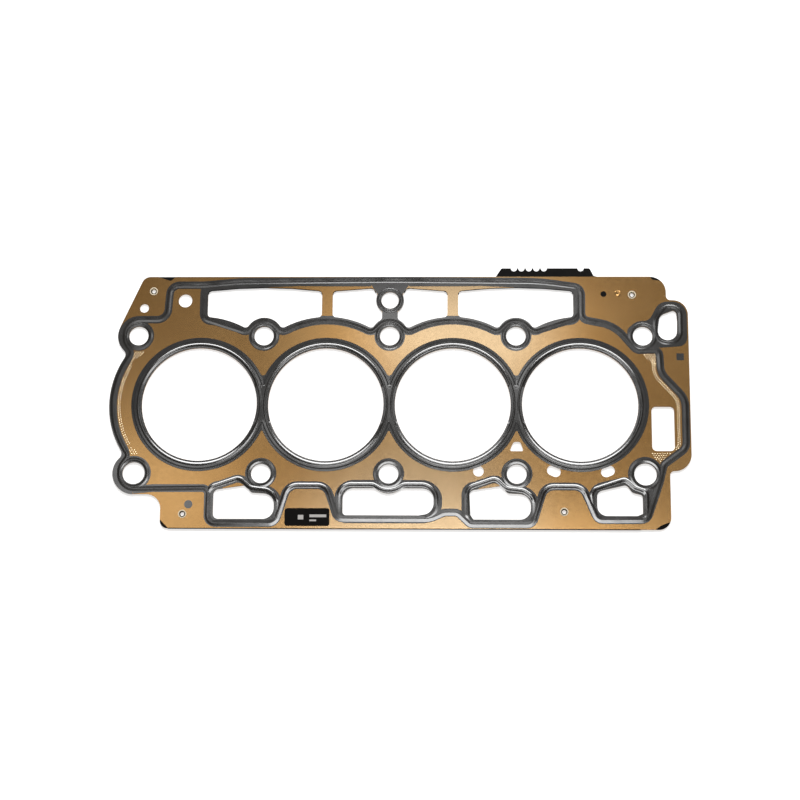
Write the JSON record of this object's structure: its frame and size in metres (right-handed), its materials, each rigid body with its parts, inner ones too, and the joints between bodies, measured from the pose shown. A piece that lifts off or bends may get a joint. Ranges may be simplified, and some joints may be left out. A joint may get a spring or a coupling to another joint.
{
  "type": "cylinder head gasket",
  "caption": "Flat multi-layer steel cylinder head gasket with raised elastomer bands round the bores, bolts and passages, a notched thickness tab and hollow rivets.",
  "frame": {"origin": "on the line of the cylinder centres, midway between cylinders 2 and 3, at the underside that rests on the cylinder block", "axes": "+X along the cylinder row towards the end with the slot and the teardrop slot, +Y towards the side with the long upper passages and the notched tab, +Z towards the cylinder head"},
  "size_m": [0.3843, 0.1766, 0.0019],
  "materials": {
    "tinted_steel": "satin bronze heat tint",
    "black_spacer": "satin black coat",
    "elastomer": "satin dark grey",
    "label_ink": "matt black ink",
    "rivet_steel": "satin"
  },
  "bodies": {
    "root": {"core_layer": "black_spacer", "upper_layer": "tinted_steel", "lower_layer": "tinted_steel", "top_sealing_print": "elastomer", "label_patch": "label_ink", "rivet_upper_left": "rivet_steel", "rivet_upper_right": "rivet_steel", "rivet_lower_left": "rivet_steel", "rivet_lower_right": "rivet_steel"}
  },
  "joints": []
}
